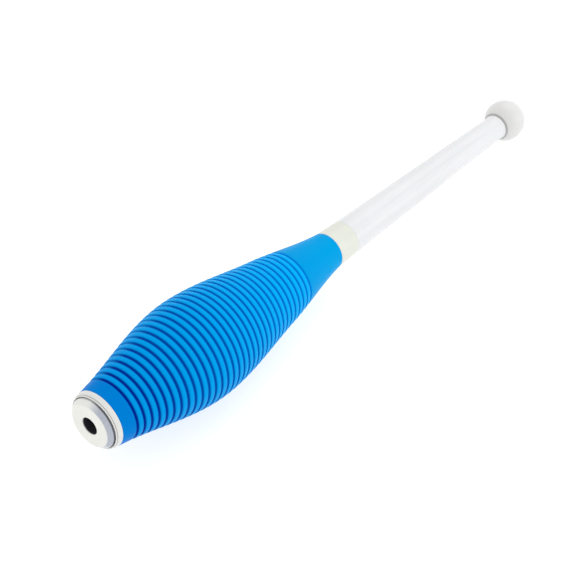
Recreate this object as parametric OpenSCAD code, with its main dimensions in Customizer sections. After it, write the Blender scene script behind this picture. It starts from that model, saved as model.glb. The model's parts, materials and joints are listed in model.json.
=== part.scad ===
// Juggling club: a ribbed, blow-moulded body and a slim handle on one wooden dowel.
// Every turned piece is drawn along the club's axis, with x = 0 at the face of the end cap
// and x = club_length at the pole of the knob. lay_down() then rests the club on its side:
// the floor is z = 0, the cap end points to -X and the knob to +X.

/* [Club] */
// Length from the cap's face to the pole of the knob
club_length = 520; // [430:1:625]
// Clearance between pieces that fit into each other
fit_gap = 0.05; // [0.02:0.01:0.1]

/* [Body] */
// Length of the blue body, from its mouth to its neck edge
body_length = 249.3; // [205:0.1:300]
// Largest diameter, over the ribs
body_d = 81.4; // [67:0.1:98]
// Diameter at the mouth, where the end ring sits
mouth_d = 45.8; // [43:0.1:56]
// Diameter at the neck edge, where the collar starts
neck_d = 30.8; // [30:0.1:38]
// Distance from the mouth to the largest diameter
belly_from_mouth = 95.3; // [78:0.1:115]
// Distance from the mouth to the middle of the long flank
flank_from_mouth = 179.3; // [150:0.1:195]
// Diameter at the middle of the long flank
flank_d = 57.2; // [46:0.1:66]
// Wall of the blown shell
shell_wall = 1.8; // [1.4:0.1:2.2]
// Length of the thick land inside the mouth
mouth_land = 4; // [3:0.1:5]

/* [Ribs] */
// Distance from one groove to the next
groove_pitch = 5.87; // [4.8:0.01:7.1]
// Width of a groove
groove_width = 2.1; // [1.6:0.1:2.5]
// Depth of a groove
groove_depth = 0.9; // [0.5:0.1:1.1]
// How much a rib rises between its edges and its middle
rib_crown = 0.2; // [0:0.05:0.3]
// Plain length between the mouth and the first groove
mouth_plain = 12.2; // [10:0.1:15]
// Least plain length between the last groove and the neck edge
neck_plain = 48; // [40:1:58]

/* [Cap end] */
// Length of the cap's bevel along the axis
cap_bevel = 3.3; // [2.5:0.1:4]
// Width of the cap's bevel, seen along the axis
cap_bevel_width = 3; // [2:0.1:4]
// Thickness of the cap's face
cap_wall = 2.6; // [2:0.1:3]
// Diameter of the hole in the cap
cap_hole_d = 14; // [11:0.1:15.6]
// Rounding of the hole's rim
cap_hole_round = 0.6; // [0.4:0.1:1.6]
// Gap between the cap's rim and the ring's lip
cap_shadow_gap = 0.6; // [0.3:0.1:0.8]
// Wall of the ring's lip, out to the body's mouth
lip_wall = 2.3; // [1.9:0.1:2.8]
// Distance from the cap's face to the ring's lip
lip_from_face = 4.6; // [4:0.1:5.5]
// Distance from the cap's face to the body's mouth
mouth_from_face = 9.8; // [9:0.1:11.5]
// Distance from the cap's face to the floor of the ring's well
well_depth = 13.4; // [12.4:0.1:16]
// Thickness of the ring's web
web_wall = 3; // [2.5:0.1:4]
// Wall of the ring's spigot
spigot_wall = 2.45; // [2:0.05:3]
// Length of the ring's hub behind the web
hub_length = 17; // [14:0.5:21]
// Wall of the ring's hub
hub_wall = 3.5; // [2.8:0.1:4.2]

/* [Dowel and handle] */
// Diameter of the wooden dowel
dowel_d = 15; // [12.5:0.1:18]
// Wall of the handle sleeve
sleeve_wall = 1.4; // [1.1:0.1:1.7]
// Diameter of the sleeve where it meets the collar
sleeve_neck_d = 29.2; // [28:0.1:32]
// Length of the neck collar
collar_length = 21.5; // [18:0.1:26]
// Wall of the collar at its thin edge
collar_wall = 0.7; // [0.6:0.05:1]
// Length of the neck bush inside the body
bush_in_body = 6.5; // [5:0.1:8]
// Length of the neck bush inside the sleeve
bush_in_sleeve = 20; // [16:0.5:24]
// Number of tacks round the neck
tack_count = 4; // [3:1:6]
// Length of a tack
tack_length = 9; // [8:0.1:10]

/* [Knob] */
// Diameter of the knob
knob_d = 35; // [29:0.1:42]
// Wall of the knob's spigot round the dowel
knob_spigot_wall = 1.4; // [1.2:0.1:1.7]
// Length of the knob's spigot inside the sleeve
knob_spigot_length = 14; // [11:0.5:17]
// Depth of the screw's recess, from the pole
recess_depth = 8; // [6.5:0.1:9]
// Thickness of the knob between the recess and the dowel
knob_web = 7; // [5.5:0.1:8]
// How far the sleeve's end rim flares out
rim_flare = 0.45; // [0.3:0.05:0.6]

/* [Screws] */
// Diameter of both wood screws
screw_d = 4; // [3.4:0.1:4.8]
// Depth of a screw in the dowel
screw_bite = 34; // [28:1:40]
// Diameter of the screw heads
screw_head_d = 8.4; // [7:0.1:9]
// Height of the screw heads
screw_head_h = 2.6; // [2.2:0.1:3]
// Thickness of the washers
washer_wall = 1.1; // [0.8:0.1:1.3]
// How far a washer shows round its screw head
washer_rim = 1; // [0.6:0.1:1.2]

/* [Hidden] */
$fn = 96;

// Slopes of the body's outline, radius per length
mouth_slope = 0.15;
flank_slope = -0.156;
neck_slope = -0.112;
// Largest step between two points of the outline where it is plain
outline_step = 6;

// Places along the axis
mouth_x = mouth_from_face;
neck_x = mouth_x + body_length;
collar_end_x = neck_x + collar_length;
belly_x = mouth_x + belly_from_mouth;
flank_x = mouth_x + flank_from_mouth;
knob_x = club_length - knob_d / 2;
recess_floor_x = club_length - recess_depth;
socket_floor_x = recess_floor_x - knob_web;
web_back_x = well_depth + web_wall;
dowel_start_x = web_back_x + fit_gap;
dowel_end_x = socket_floor_x - fit_gap;

// Clearance round a screw's shank, and the knob's seat round the sleeve's rim
screw_clearance = 0.3;
seat_margin = 0.15;

// Radii
mouth_r = mouth_d / 2;
neck_r = neck_d / 2;
dowel_r = dowel_d / 2;
dowel_bore_r = dowel_r + fit_gap;
screw_r = screw_d / 2;
pilot_r = screw_r + fit_gap;
screw_hole_r = screw_r + screw_clearance;
washer_r = screw_head_d / 2 + washer_rim;
sleeve_neck_r = sleeve_neck_d / 2;
sleeve_end_r = dowel_bore_r + knob_spigot_wall + fit_gap + sleeve_wall;
tongue_r = min(neck_r, sleeve_neck_r) - collar_wall - fit_gap;
tongue_bore_r = tongue_r - shell_wall;
well_r = mouth_r - shell_wall - fit_gap - spigot_wall;
spigot_r = mouth_r - shell_wall - fit_gap;
cap_skirt_r = well_r - fit_gap;
lip_r = mouth_r - lip_wall;
cap_rim_r = lip_r - cap_shadow_gap;
cap_face_r = cap_rim_r - cap_bevel_width;
cap_hole_r = cap_hole_d / 2;
boss_r = cap_hole_r + 2.5;
recess_r = washer_r + 2 * fit_gap;
knob_r = knob_d / 2;
seat_r = sleeve_end_r + rim_flare + seat_margin;
seat_x = knob_x - sqrt(pow(knob_r, 2) - pow(seat_r, 2));

// Fits and small features
lip_edge = 0.5;
lip_height = 2;
spigot_tail = 3;
cap_seat_x = lip_from_face + lip_height;
cap_lip_x = cap_hole_round + 0.2;
cap_skirt_wall = 1.9;
pocket_r = max(cap_hole_r, washer_r) + 1.5;
head_gap = 0.5;
pocket_x = well_depth - washer_wall - screw_head_h - head_gap;
snap_bead = 0.4;
snap_bead_length = 2.4;
end_chamfer = 1;
flare_length = 2.6;
rim_round = 0.35;
tack_r = 0.6;
tack_head_r = 1.6;
tack_head_h = 0.5;
tack_x = neck_x + 10;
tack_relief_r = norm([tongue_r + tack_head_h, tack_head_r]) + fit_gap;
tack_relief_length = 2 * tack_head_r + 1;

// The smooth line from [0, y0] to [span, y1] with slopes k0 and k1, at distance d
function blend(d, span, y0, y1, k0, k1) =
    let (t = d / span)
    (2 * pow(t, 3) - 3 * pow(t, 2) + 1) * y0 + (pow(t, 3) - 2 * pow(t, 2) + t) * span * k0
    + (3 * pow(t, 2) - 2 * pow(t, 3)) * y1 + (pow(t, 3) - pow(t, 2)) * span * k1;

// Radius of the body over the ribs
function body_r(x) =
    x < belly_x ? blend(x - mouth_x, belly_from_mouth, mouth_r, body_d / 2, mouth_slope, 0)
    : x < flank_x ? blend(x - belly_x, flank_x - belly_x, body_d / 2, flank_d / 2, 0, flank_slope)
    : blend(x - flank_x, neck_x - flank_x, flank_d / 2, neck_r, flank_slope, neck_slope);

// The grooves that fit between the two plain ends
groove_count = floor((body_length - mouth_plain - neck_plain) / groove_pitch) + 1;
first_groove_x = mouth_x + mouth_plain;
last_groove_x = first_groove_x + (groove_count - 1) * groove_pitch;

// Points of the body's outline at the places in xs, lowered by drop
function on_body(xs, drop) = [for (x = xs) [x, body_r(x) - drop]];

// One groove round its middle x, from its first edge to its last
function groove(x) = concat(
    on_body([x - groove_width / 2], rib_crown),
    on_body([x - groove_width * 0.3], groove_depth * 0.8),
    on_body([x], groove_depth),
    on_body([x + groove_width * 0.3], groove_depth * 0.8),
    on_body([x + groove_width / 2], rib_crown));

// The crowned rib after the groove at x
function rib(x) =
    let (land = groove_pitch - groove_width, edge = x + groove_width / 2)
    concat(on_body([edge + land / 4], rib_crown / 4),
           on_body([edge + land / 2], 0),
           on_body([edge + land * 3 / 4], rib_crown / 4));

function ribbed(n) =
    [for (i = [0:n - 1]) each concat(groove(first_groove_x + i * groove_pitch),
        i < n - 1 ? rib(first_groove_x + i * groove_pitch) : [])];

// A plain stretch of the outline from x0 to x1, both ends included
function plain(x0, x1, drop) =
    let (n = ceil((x1 - x0) / outline_step))
    on_body([for (i = [0:n]) x0 + (x1 - x0) * i / n], drop);

function reversed(list) = [for (i = [len(list) - 1:-1:0]) list[i]];

body_outline = concat(
    plain(mouth_x, first_groove_x - groove_pitch / 2, 0),
    ribbed(groove_count),
    plain(last_groove_x + groove_pitch / 2, neck_x, 0));

// Radius of the sleeve's outside, and of its bore
function sleeve_r(x) =
    sleeve_neck_r + (sleeve_end_r - sleeve_neck_r) * (x - collar_end_x) / (seat_x - collar_end_x);
function sleeve_bore_r(x) = sleeve_r(x) - sleeve_wall;

// The club lies on its body and its knob, so its axis tips until both touch the floor
function reach(tip) = max([for (p = body_outline) p[0] * sin(tip) + p[1] * cos(tip)]);
function resting_tip(tip, rounds) =
    rounds == 0 ? tip : resting_tip(asin((reach(tip) - knob_r) / knob_x), rounds - 1);
tip = resting_tip(3, 12);
axis_height = knob_x * sin(tip) + knob_r;
recess_rim_x = knob_x + sqrt(pow(knob_r, 2) - pow(recess_r, 2));
x_low = -cap_face_r * sin(tip);
x_high = recess_rim_x * cos(tip) + recess_r * sin(tip);

module lay_down() {
    translate([-(x_low + x_high) / 2, 0, axis_height])
        rotate([0, tip, 0])
            children();
}

// A turned piece: points are [distance along the axis, radius]
module turned(points) {
    rotate([0, 90, 0])
        rotate_extrude()
            polygon([for (p = points) [p[1], p[0]]]);
}

// A plain rod or hole from x0 to x1
module rod(r, x0, x1) {
    translate([x0, 0, 0])
        rotate([0, 90, 0])
            cylinder(h = x1 - x0, r = r);
}

// Radial holes or shanks for the tacks, from radius r0 to r1
module tack_ring(r, r0, r1) {
    for (i = [0:tack_count - 1])
        rotate([i * 360 / tack_count, 0, 0])
            translate([tack_x, 0, r0])
                cylinder(h = r1 - r0, r = r);
}

module tack_holes() {
    tack_ring(tack_r + fit_gap, tongue_r - tack_length - fit_gap, tongue_r + 1);
}

// Blown shell: mouth, ribbed belly, plain neck, and the tongue that the collar hides
module body_shell() {
    tongue_end_x = collar_end_x - fit_gap;
    land_end_x = mouth_x + mouth_land;
    inside = plain(land_end_x + 1, neck_x - shell_wall, shell_wall);
    color("dodgerblue")
        lay_down()
            difference() {
                turned(concat(
                    body_outline,
                    [[neck_x, tongue_r], [tongue_end_x, tongue_r]],
                    [[tongue_end_x, tongue_bore_r], [neck_x, tongue_bore_r]],
                    reversed(inside),
                    [[land_end_x, mouth_r - shell_wall], [mouth_x, mouth_r - shell_wall]]));
                tack_holes();
            }
}

// Rigid ring that plugs the mouth: lip, ledge, well, web, hub round the dowel, snap bead
module end_ring() {
    lip_top_r = lip_r + lip_wall * 0.3;
    band_r = mouth_r - lip_wall * 0.4;
    hub_end_x = web_back_x + hub_length;
    spigot_end_x = web_back_x + spigot_tail;
    bead_x = mouth_x + mouth_land + fit_gap;
    color("whitesmoke")
        lay_down()
            turned([
                [lip_from_face, lip_r],
                [lip_from_face, lip_top_r],
                [lip_from_face + lip_edge, lip_top_r + lip_edge / 2],
                [lip_from_face + 2 * lip_edge, lip_top_r],
                [lip_from_face + 3 * lip_edge, band_r],
                [mouth_x, mouth_r],
                [mouth_x, spigot_r],
                [bead_x, spigot_r],
                [bead_x + snap_bead, spigot_r + snap_bead],
                [bead_x + snap_bead_length / 2, spigot_r + snap_bead],
                [bead_x + snap_bead_length, spigot_r],
                [spigot_end_x, spigot_r - snap_bead],
                [spigot_end_x, well_r],
                [web_back_x, well_r],
                [web_back_x, dowel_bore_r + hub_wall],
                [hub_end_x, dowel_bore_r + hub_wall - end_chamfer],
                [hub_end_x, dowel_bore_r],
                [web_back_x, dowel_bore_r],
                [web_back_x, screw_hole_r],
                [well_depth, screw_hole_r],
                [well_depth, well_r],
                [cap_seat_x, well_r],
                [cap_seat_x, lip_r]]);
}

// Soft cap: bevelled face with a round-edged hole, rim on the ring's ledge, skirt in its well
module end_cap() {
    skirt_bore_r = cap_skirt_r - cap_skirt_wall;
    hole_edge = [for (a = [0:15:90])
        [cap_hole_round * (1 - sin(a)), cap_hole_r + cap_hole_round * (1 - cos(a))]];
    color("white")
        lay_down()
            turned(concat(hole_edge, [
                [0, cap_face_r],
                [cap_bevel, cap_rim_r],
                [cap_seat_x, cap_rim_r],
                [cap_seat_x, cap_skirt_r],
                [well_depth, cap_skirt_r],
                [well_depth, skirt_bore_r],
                [cap_wall, skirt_bore_r],
                [cap_wall, boss_r],
                [cap_lip_x, boss_r],
                [cap_lip_x, cap_hole_r]]));
}

// Foam pad behind the cap's face: its boss lines the cap's hole, and its bore leads on to a
// pocket for the screw
module cap_pad() {
    pad_r = cap_skirt_r - cap_skirt_wall - fit_gap;
    color("dimgray")
        lay_down()
            turned([
                [cap_lip_x, cap_hole_r],
                [cap_lip_x, boss_r - fit_gap],
                [cap_wall, boss_r - fit_gap],
                [cap_wall, pad_r],
                [well_depth, pad_r],
                [well_depth, pocket_r],
                [pocket_x, pocket_r],
                [pocket_x, cap_hole_r]]);
}

// Washer with its face on the web at x and its other face towards the head, on side s
module washer(x, s) {
    low = s < 0 ? x - washer_wall : x;
    difference() {
        rod(washer_r, low, low + washer_wall);
        rod(screw_hole_r, low - 1, low + washer_wall + 1);
    }
}

// Pan-head wood screw along +X, with the head's seat at x = 0 and a cross recess
module wood_screw(shank) {
    head_r = screw_head_d / 2;
    point = 2 * screw_r;
    difference() {
        turned([
            [-screw_head_h, 0],
            [-screw_head_h, head_r * 0.55],
            [-screw_head_h * 0.75, head_r * 0.85],
            [-screw_head_h * 0.4, head_r],
            [0, head_r],
            [0, screw_r],
            [shank - point, screw_r],
            [shank, 0]]);
        for (a = [0, 90])
            rotate([a, 0, 0])
                translate([-screw_head_h, 0, 0])
                    cube([screw_head_h, screw_r * 2.4, screw_r * 0.45], center = true);
    }
}

module cap_washer() {
    color("silver")
        lay_down()
            washer(well_depth, -1);
}

module cap_screw() {
    seat = well_depth - washer_wall;
    color("gray")
        lay_down()
            translate([seat, 0, 0])
                wood_screw(dowel_start_x - seat + screw_bite);
}

// Beech dowel with a pilot hole in each end
module dowel() {
    pilot = screw_bite + 1;
    color("burlywood")
        lay_down()
            difference() {
                turned([
                    [dowel_start_x, 0],
                    [dowel_start_x, dowel_r - end_chamfer],
                    [dowel_start_x + end_chamfer, dowel_r],
                    [dowel_end_x - end_chamfer, dowel_r],
                    [dowel_end_x, dowel_r - end_chamfer],
                    [dowel_end_x, 0]]);
                rod(pilot_r, dowel_start_x - 1, dowel_start_x + pilot);
                rod(pilot_r, dowel_end_x - pilot, dowel_end_x + 1);
                tack_holes();
            }
}

// Turned bush glued on the dowel: it fills the shell's tongue and the sleeve's wide end
module neck_bush() {
    start_x = neck_x - bush_in_body;
    shoulder_x = collar_end_x + fit_gap;
    end_x = collar_end_x + bush_in_sleeve;
    in_tongue_r = tongue_bore_r - fit_gap;
    color("tan")
        lay_down()
            difference() {
                turned([
                    [start_x, dowel_bore_r],
                    [start_x, in_tongue_r - end_chamfer],
                    [start_x + end_chamfer, in_tongue_r],
                    [shoulder_x, in_tongue_r],
                    [shoulder_x, sleeve_bore_r(shoulder_x) - fit_gap],
                    [end_x, sleeve_bore_r(end_x) - fit_gap],
                    [end_x, dowel_bore_r]]);
                tack_holes();
            }
}

// Flat-headed tacks that hold the shell's tongue to the bush and the dowel
module neck_tacks() {
    color("silver")
        lay_down() {
            tack_ring(tack_r, tongue_r - tack_length, tongue_r + tack_head_h / 2);
            tack_ring(tack_head_r, tongue_r, tongue_r + tack_head_h);
        }
}

// Thin tapered collar that bridges from the body to the sleeve and covers the tacks
module neck_collar() {
    relief_x0 = tack_x - tack_relief_length / 2;
    relief_x1 = tack_x + tack_relief_length / 2;
    bore_r = tongue_r + fit_gap;
    color("ivory")
        lay_down()
            turned([
                [neck_x, bore_r],
                [neck_x, neck_r],
                [collar_end_x, sleeve_neck_r],
                [collar_end_x, bore_r],
                [relief_x1, bore_r],
                [relief_x1, tack_relief_r],
                [relief_x0, tack_relief_r],
                [relief_x0, bore_r]]);
}

// Tapered handle tube with a flared rim that seats on the knob
module handle_sleeve() {
    flare_x = seat_x - flare_length;
    rim_r = sleeve_end_r + rim_flare;
    color("white")
        lay_down()
            turned([
                [collar_end_x, sleeve_bore_r(collar_end_x)],
                [collar_end_x, sleeve_neck_r],
                [flare_x, sleeve_r(flare_x)],
                [seat_x - flare_length / 2, rim_r - rim_flare / 4],
                [seat_x - rim_round, rim_r],
                [seat_x, rim_r - rim_round],
                [seat_x, sleeve_bore_r(seat_x)]]);
}

// Ball knob: seat and spigot towards the handle, socket for the dowel, recess at the pole
module knob() {
    spigot_x = seat_x - knob_spigot_length;
    color("white")
        lay_down()
            difference() {
                union() {
                    intersection() {
                        translate([knob_x, 0, 0])
                            sphere(r = knob_r);
                        rod(knob_r + 1, seat_x, club_length + 1);
                    }
                    turned([
                        [spigot_x, 0],
                        [spigot_x, sleeve_bore_r(spigot_x) - fit_gap],
                        [seat_x, sleeve_bore_r(seat_x) - fit_gap],
                        [knob_x, sleeve_bore_r(seat_x) - fit_gap],
                        [knob_x, 0]]);
                }
                rod(dowel_bore_r, spigot_x - 1, socket_floor_x);
                rod(screw_hole_r, socket_floor_x - 1, recess_floor_x + 1);
                rod(recess_r, recess_floor_x, club_length + 1);
            }
}

module knob_washer() {
    color("silver")
        lay_down()
            washer(recess_floor_x, 1);
}

module knob_screw() {
    seat = recess_floor_x + washer_wall;
    color("gray")
        lay_down()
            translate([seat, 0, 0])
                mirror([1, 0, 0])
                    wood_screw(seat - dowel_end_x + screw_bite);
}

body_shell();
end_ring();
end_cap();
cap_pad();
cap_washer();
cap_screw();
dowel();
neck_bush();
neck_tacks();
neck_collar();
handle_sleeve();
knob();
knob_washer();
knob_screw();
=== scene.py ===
"""Builds the looks of a ribbed juggling club round its packed frame: pieces, finishes and stage.

Every turned piece is drawn along the club's axis: the first number of a point is its distance
from the face of the end cap, the second its radius. CLUB then lays the piece in the frame.
"""

import json
import math

import bpy
from mathutils import Matrix, Vector


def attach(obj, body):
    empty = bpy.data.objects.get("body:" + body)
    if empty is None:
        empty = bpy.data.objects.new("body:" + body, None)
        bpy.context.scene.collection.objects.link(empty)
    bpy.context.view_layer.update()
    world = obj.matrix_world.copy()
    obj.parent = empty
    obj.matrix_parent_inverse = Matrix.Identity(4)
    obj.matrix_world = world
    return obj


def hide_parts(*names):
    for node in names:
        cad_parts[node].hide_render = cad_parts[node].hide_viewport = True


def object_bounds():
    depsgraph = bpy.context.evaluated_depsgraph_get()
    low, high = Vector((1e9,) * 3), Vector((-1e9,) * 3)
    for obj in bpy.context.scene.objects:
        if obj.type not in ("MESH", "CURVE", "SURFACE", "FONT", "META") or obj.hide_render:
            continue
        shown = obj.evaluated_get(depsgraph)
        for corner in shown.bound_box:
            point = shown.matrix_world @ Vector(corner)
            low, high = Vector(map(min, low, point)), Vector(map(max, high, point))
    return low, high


bl_info = {
    "name": "Ribbed Juggling Club",
    "version": (1, 0, 0),
    "blender": (4, 5, 0),
    "location": "3D View > Sidebar > Club",
    "description": "Builds the pieces, finishes and stage of a ribbed juggling club",
    "category": "Add Mesh",
}

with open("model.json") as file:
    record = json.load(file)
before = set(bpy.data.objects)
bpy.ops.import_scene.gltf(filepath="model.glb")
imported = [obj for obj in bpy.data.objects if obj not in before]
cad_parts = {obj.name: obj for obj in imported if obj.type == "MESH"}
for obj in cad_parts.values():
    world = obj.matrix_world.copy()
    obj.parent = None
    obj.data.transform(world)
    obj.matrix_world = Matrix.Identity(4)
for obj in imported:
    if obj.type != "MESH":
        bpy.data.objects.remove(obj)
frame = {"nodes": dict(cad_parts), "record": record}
cad_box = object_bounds()

ROOT = "root"
MM = 0.001
TURN = 2 * math.pi
CREASE = math.radians(35)
ON_AXIS = 0.001 * MM
WELD = 0.002 * MM
FILLET_SHARE = 0.48


def mount(name):
    """The packed mount of that name."""
    return next(m for m in frame["record"]["mounts"] if m["name"] == name)


def club_matrix():
    """The place of the club's axis: X runs from the cap's face to the knob."""
    along = -Vector(mount("cap_hole")["axis"])
    hole = Vector(mount("cap_hole")["pos_m"])
    face = Vector(mount("cap_face")["pos_m"])
    start = hole + along * (face - hole).dot(along)
    across = Vector((0, 1, 0))
    turn = Matrix((along, across, along.cross(across))).transposed()
    return Matrix.Translation(start) @ turn.to_4x4()


CLUB = club_matrix()


# ---------------------------------------------------------------- sizes and colours


def length(name, text, default):
    """A property in metres, with its default given in millimetres."""
    return bpy.props.FloatProperty(
        name=name, description=text, default=default * MM, unit="LENGTH", precision=5
    )


def colour(name, text, default):
    """A linear colour property."""
    return bpy.props.FloatVectorProperty(
        name=name, description=text, default=default, subtype="COLOR", size=3, min=0, max=1
    )


def number(name, text, default):
    """A plain number."""
    return bpy.props.FloatProperty(name=name, description=text, default=default)


def count(name, text, default):
    """A whole number of things, one at least."""
    return bpy.props.IntProperty(name=name, description=text, default=default, min=1)


def angle(name, text, default):
    """An angle property, with its default given in degrees."""
    return bpy.props.FloatProperty(
        name=name, description=text, default=math.radians(default), subtype="ANGLE"
    )


class ClubSizes(bpy.types.PropertyGroup):
    """Sizes of the pieces, as the frame has them."""

    club_length: length("Club", "Cap's face to the knob's pole", 520)
    gap: length("Fit gap", "Clearance between pieces that fit", 0.05)
    body_length: length("Body", "Mouth to neck edge", 249.3)
    body_r: length("Belly radius", "Largest radius, over the ribs", 40.7)
    mouth_r: length("Mouth radius", "Radius at the mouth", 22.9)
    neck_r: length("Neck radius", "Radius at the neck edge", 15.4)
    flank_r: length("Flank radius", "Radius at the middle of the flank", 28.6)
    belly_place: length("Belly place", "Mouth to the largest radius", 95.3)
    flank_place: length("Flank place", "Mouth to the middle of the flank", 179.3)
    shell_wall: length("Shell wall", "Wall of the blown shell", 1.8)
    mouth_land: length("Mouth land", "Length of the thick land in the mouth", 4)
    groove_pitch: length("Groove pitch", "One groove to the next", 5.87)
    groove_width: length("Groove width", "Width of a groove", 2.1)
    groove_depth: length("Groove depth", "Depth of a groove", 0.9)
    rib_crown: length("Rib crown", "Rise of a rib's middle", 0.2)
    mouth_plain: length("Plain mouth", "Mouth to the first groove", 12.2)
    groove_count: count("Grooves", "Number of grooves", 33)
    mouth_place: length("Mouth place", "Cap's face to the mouth", 9.8)
    lip_place: length("Lip place", "Cap's face to the ring's lip", 4.6)
    lip_wall: length("Lip wall", "Wall of the ring's lip at the mouth", 2.3)
    lip_height: length("Lip height", "Height of the lip over its ledge", 2)
    well_depth: length("Well depth", "Cap's face to the floor of the well", 13.4)
    web_wall: length("Web", "Thickness of the ring's web", 3)
    spigot_wall: length("Spigot wall", "Wall of the ring's spigot", 2.45)
    hub_length: length("Hub", "Length of the hub behind the web", 17)
    hub_wall: length("Hub wall", "Wall of the hub", 3.5)
    snap_bead: length("Snap bead", "Height of the bead behind the land", 0.4)
    cap_bevel: length("Cap bevel", "Length of the cap's bevel", 3.3)
    bevel_width: length("Bevel width", "Width of the cap's bevel", 3)
    cap_wall: length("Cap wall", "Thickness of the cap's face", 2.6)
    hole_r: length("Hole radius", "Radius of the cap's hole", 7.0)
    hole_round: length("Hole rounding", "Rounding of the hole's rim", 0.6)
    boss_wall: length("Boss wall", "Wall of the pad's boss in the hole", 2.5)
    lip_inset: length("Lip inset", "Rounding of the hole to the boss", 0.2)
    shadow_gap: length("Shadow gap", "Gap between cap and lip", 0.6)
    skirt_wall: length("Skirt wall", "Wall of the cap's skirt", 1.9)
    dowel_r: length("Dowel radius", "Radius of the dowel", 7.5)
    collar_length: length("Collar", "Length of the neck collar", 21.5)
    collar_wall: length("Collar wall", "Wall of the collar's thin edge", 0.7)
    sleeve_neck_r: length("Sleeve radius", "Radius of the sleeve at the collar", 14.6)
    sleeve_wall: length("Sleeve wall", "Wall of the handle sleeve", 1.4)
    rim_flare: length("Rim flare", "Flare of the sleeve's end rim", 0.45)
    flare_length: length("Flare", "Length of the flare", 2.6)
    knob_r: length("Knob radius", "Radius of the ball knob", 17.5)
    knob_spigot: length("Knob spigot", "Length of the knob's spigot", 14)
    spigot_ring: length("Knob spigot wall", "Wall of the knob's spigot", 1.4)
    recess_depth: length("Recess", "Depth of the screw's recess", 8)
    knob_web: length("Knob web", "Knob between recess and dowel", 7)
    washer_wall: length("Washer", "Thickness of the washers", 1.1)
    washer_rim: length("Washer rim", "Washer seen round its head", 1)
    screw_r: length("Screw radius", "Radius of the threads", 2)
    screw_play: length("Screw play", "Threads to the hole round them", 0.3)
    thread_depth: length("Thread", "Depth of the threads", 0.5)
    thread_pitch: length("Thread pitch", "One thread to the next", 1.8)
    screw_bite: length("Bite", "Depth of a screw in the dowel", 34)
    head_r: length("Head radius", "Radius of the screw heads", 4.2)
    head_height: length("Head height", "Height of the screw heads", 2.6)
    tack_r: length("Tack radius", "Radius of a tack's shank", 0.6)
    tack_head_r: length("Tack head", "Radius of a tack's head", 1.6)
    tack_head_height: length("Tack head height", "Height of a tack's head", 0.5)
    tack_length: length("Tack length", "Length of a tack", 9)
    tack_relief: length("Tack relief", "Tack's head to the end of its relief", 0.5)
    tack_place: length("Tack place", "Neck edge to the tacks", 10)
    tack_count: count("Tacks", "Number of tacks round the neck", 4)


class ClubColours(bpy.types.PropertyGroup):
    """Colours of the finishes."""

    blue: colour("Blue", "Body at its mouth", (0.0, 0.185, 0.59))
    # Painted light: the body is painted lighter toward the neck, where more light and sheen fall.
    light_blue: colour("Light blue", "Body at its neck, painted lighter where more light falls", (0.0, 0.31, 0.67))
    # Painted shade: the grooves near the mouth are painted deep blue where shade falls in them.
    mouth_groove_shade: colour("Deep blue", "Grooves near the mouth", (0.0, 0.014, 0.27))
    # Painted highlight: the ribbed zone near the mouth is painted lighter than the plain body.
    lit_rib_blue: colour("Lit rib blue", "Crowns of the ribs near the mouth", (0.0, 0.27, 0.69))
    # Painted highlight on the ribbed zone near the neck.
    pale_blue: colour("Pale blue", "Crowns of the ribs near the neck", (0.0, 0.40, 0.82))
    # Painted shade in the grooves near the neck, lighter there as if lit more from the neck end.
    neck_groove_shade: colour("Mid blue", "Grooves near the neck", (0.0, 0.25, 0.74))
    cap: colour("Cap", "Soft white of the cap", (0.78, 0.78, 0.735))
    ring: colour("Ring", "White of the mouth ring", (0.69, 0.69, 0.67))
    ivory: colour("Ivory", "Collar at the neck", (0.67, 0.68, 0.61))
    handle: colour("Handle", "White of the handle sleeve", (0.71, 0.715, 0.73))
    knob: colour("Knob", "White of the knob", (0.66, 0.66, 0.65))
    # Painted shade: the cap's bevel is painted grey-blue, darkest on one side, where shade falls.
    bevel_shade: colour("Bevel shade", "Painted shade on the cap's bevel, darkest on one side", (0.37, 0.40, 0.48))
    # Painted shade: the gap round the cap is painted dark, where shade falls.
    gap_shade: colour("Gap shade", "Painted shade in the gap round the cap", (0.13, 0.14, 0.16))
    foam: colour("Foam", "Foam behind the cap", (0.016, 0.015, 0.024))
    zinc: colour("Zinc", "Screws, washers and tacks", (0.62, 0.62, 0.60))
    beech: colour("Beech", "Dowel and bush", (0.62, 0.41, 0.23))
    beech_dark: colour("Dark beech", "Flecks and rings of the wood", (0.42, 0.24, 0.11))
    floor: colour("Floor", "Pale floor", (0.42, 0.42, 0.42))


class ClubStage(bpy.types.PropertyGroup):
    """Camera, lights and floor."""

    azimuth: angle("Azimuth", "Turn of the camera round the club", -49.83)
    elevation: angle("Elevation", "Camera above the floor", 42.87)
    distance: length("Distance", "Camera to the middle of its view", 1294)
    aim_place: length("Aim", "Cap's face to the point of the axis that is aimed past", 212.5)
    aim_rise: length("Aim rise", "How far that point sits above the view's middle", 6.42)
    aim_side: length("Aim side", "How far it sits right of the view's middle", 0.38)
    roll: angle("Roll", "Turn of the camera about its own view", -0.1)
    lens: bpy.props.FloatProperty(
        name="Lens", description="Focal length", default=106.25, unit="CAMERA"
    )
    sky: number("Sky", "Light from all round", 1)
    key: number("Key", "Power of the key light", 5)
    glow: number("Glow", "Light of the floor", 0.72)
    fill: number("Fill", "Power of the fill light", 4)


def sizes():
    return bpy.context.scene.club_sizes


def colours():
    return bpy.context.scene.club_colours


def stage():
    return bpy.context.scene.club_stage


# ---------------------------------------------------------------- node trees


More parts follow.
